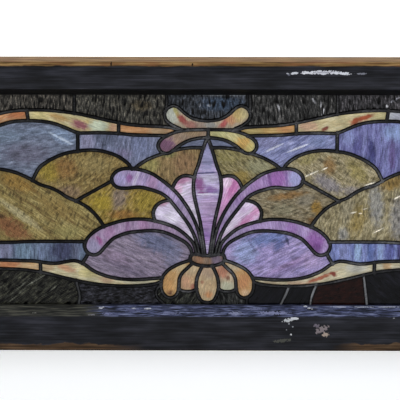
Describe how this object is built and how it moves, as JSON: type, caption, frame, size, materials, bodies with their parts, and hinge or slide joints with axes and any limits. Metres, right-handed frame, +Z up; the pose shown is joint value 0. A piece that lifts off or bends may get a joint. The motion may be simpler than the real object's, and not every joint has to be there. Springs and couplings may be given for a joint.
{
  "type": "leaded stained glass window",
  "caption": "Leaded transom window in a wooden sash, with a symmetrical palmette, ribbons and hills in opalescent glass.",
  "frame": {"origin": "middle of the sash's bottom edge: half its width and half its depth, on its underside", "axes": "+X along the window's width, +Y through its depth towards its back, +Z up; its face looks along -Y"},
  "size_m": [1.22, 0.0446, 0.472],
  "materials": {
    "painted_wood": "old near-black paint, brushed, with chips and bare edges",
    "lead": "dull aged lead came",
    "pink_glass": "streaky opalescent pink",
    "lavender_glass": "draped opalescent lavender",
    "mauve_glass": "streaky opalescent mauve and blue",
    "cream_glass": "streaky opalescent cream, tan and rose",
    "blue_glass": "streaky opalescent periwinkle and grey blue",
    "amber_glass": "rippled amber and olive",
    "dark_glass": "dark ripple glass",
    "dark_red_glass": "dark red ripple glass"
  },
  "bodies": {
    "root": {"bottom_rail": "painted_wood", "top_rail": "painted_wood", "left_stile": "painted_wood", "right_stile": "painted_wood", "left_bead": "painted_wood", "right_bead": "painted_wood", "bottom_bead": "painted_wood", "top_bead": "painted_wood", "lead_cames": "lead", "spear": "lavender_glass", "collar": "cream_glass", "middle_drop": "cream_glass", "upper_curl": "cream_glass", "dark_top": "dark_glass", "dark_bottom_left": "dark_glass", "dark_bottom_right": "dark_glass", "dark_red": "dark_red_glass", "dark_bottom_far_right": "dark_glass", "left_inner_petal": "pink_glass", "right_inner_petal": "pink_glass", "left_upper_arm": "lavender_glass", "right_upper_arm": "lavender_glass", "left_outer_petal": "pink_glass", "right_outer_petal": "pink_glass", "left_lower_arm": "lavender_glass", "right_lower_arm": "lavender_glass", "left_inner_drop": "cream_glass", "right_inner_drop": "cream_glass", "left_outer_drop": "cream_glass", "right_outer_drop": "cream_glass", "left_lens": "mauve_glass", "right_lens": "mauve_glass", "left_lower_curl": "cream_glass", "right_lower_curl": "cream_glass", "left_small_sky": "blue_glass", "right_small_sky": "blue_glass", "left_near_hill": "amber_glass", "right_near_hill": "amber_glass", "left_middle_hill": "amber_glass", "right_middle_hill": "amber_glass", "left_low_hill": "amber_glass", "right_low_hill": "amber_glass", "left_far_hill": "amber_glass", "right_far_hill": "amber_glass", "left_near_sky": "blue_glass", "right_near_sky": "blue_glass", "left_far_sky": "blue_glass", "right_far_sky": "blue_glass", "left_water": "blue_glass", "right_water": "blue_glass", "left_upper_ribbon": "cream_glass", "right_upper_ribbon": "cream_glass", "left_crest_ribbon": "cream_glass", "right_crest_ribbon": "cream_glass", "left_turning_ribbon": "cream_glass", "right_turning_ribbon": "cream_glass", "left_lower_ribbon": "cream_glass", "right_lower_ribbon": "cream_glass", "left_corner_ribbon": "cream_glass", "right_corner_ribbon": "cream_glass"}
  },
  "joints": []
}
